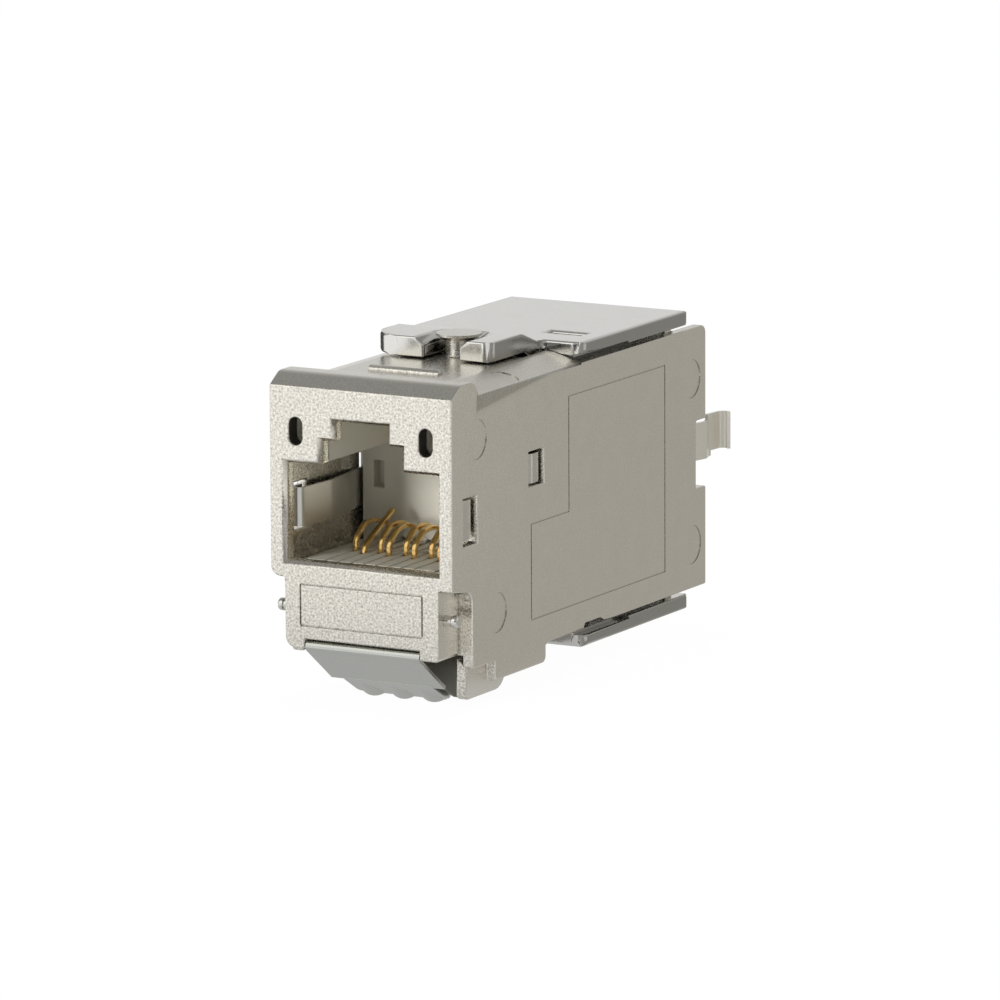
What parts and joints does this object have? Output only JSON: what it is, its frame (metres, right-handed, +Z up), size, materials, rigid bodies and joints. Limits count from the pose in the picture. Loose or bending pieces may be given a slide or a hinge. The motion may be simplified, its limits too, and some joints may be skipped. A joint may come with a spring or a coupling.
{
  "type": "ethernet keystone jack",
  "caption": "Die-cast shielded keystone jack with a stepped plug port, spring contacts, a sprung panel latch and a slide-on rear cap with a cable entry.",
  "frame": {"origin": "middle of the plug port's main opening, on the front face", "axes": "+X to the right seen from the front, +Y from the front face to the rear, +Z up"},
  "size_m": [0.0152, 0.0414, 0.0248],
  "materials": {
    "cast_metal": "fine-grained nickel plate on a zinc casting",
    "cap_metal": "satin nickel plate on a zinc casting",
    "spring_steel": "smooth spring steel",
    "strip_metal": "bright plated strip",
    "pin_metal": "bright",
    "carrier_plastic": "matte",
    "block_plastic": "matte",
    "board": "solder mask",
    "contact_gold": "gold plate",
    "terminal_metal": "tin plate"
  },
  "bodies": {
    "jack_body": {"housing": "cast_metal", "contact_carrier": "carrier_plastic", "shield_spring_left": "strip_metal", "shield_spring_right": "strip_metal", "contact_1": "contact_gold", "contact_2": "contact_gold", "contact_3": "contact_gold", "contact_4": "contact_gold", "contact_5": "contact_gold", "contact_6": "contact_gold", "contact_7": "contact_gold", "contact_8": "contact_gold", "circuit_board": "board", "terminal_block": "block_plastic", "terminal_1": "terminal_metal", "terminal_2": "terminal_metal", "terminal_3": "terminal_metal", "terminal_4": "terminal_metal", "terminal_5": "terminal_metal", "terminal_6": "terminal_metal", "terminal_7": "terminal_metal", "terminal_8": "terminal_metal", "latch_pin": "pin_metal"},
    "cap_body": {"rear_cap": "cap_metal", "wire_manager": "block_plastic"},
    "latch_body": {"latch": "spring_steel"}
  },
  "joints": [
    {"name": "cap_slide", "type": "slide", "parent": "jack_body", "child": "cap_body", "axis": [0, 1, 0], "range_m": [0, 0.024]},
    {"name": "latch_press", "type": "hinge", "parent": "jack_body", "child": "latch_body", "pos_m": [0, 0.0011, -0.00683], "axis": [1, 0, 0], "range_deg": [0, 25], "stiffness_Nm_per_rad": 0.02, "springref_deg": -14.32}
  ]
}
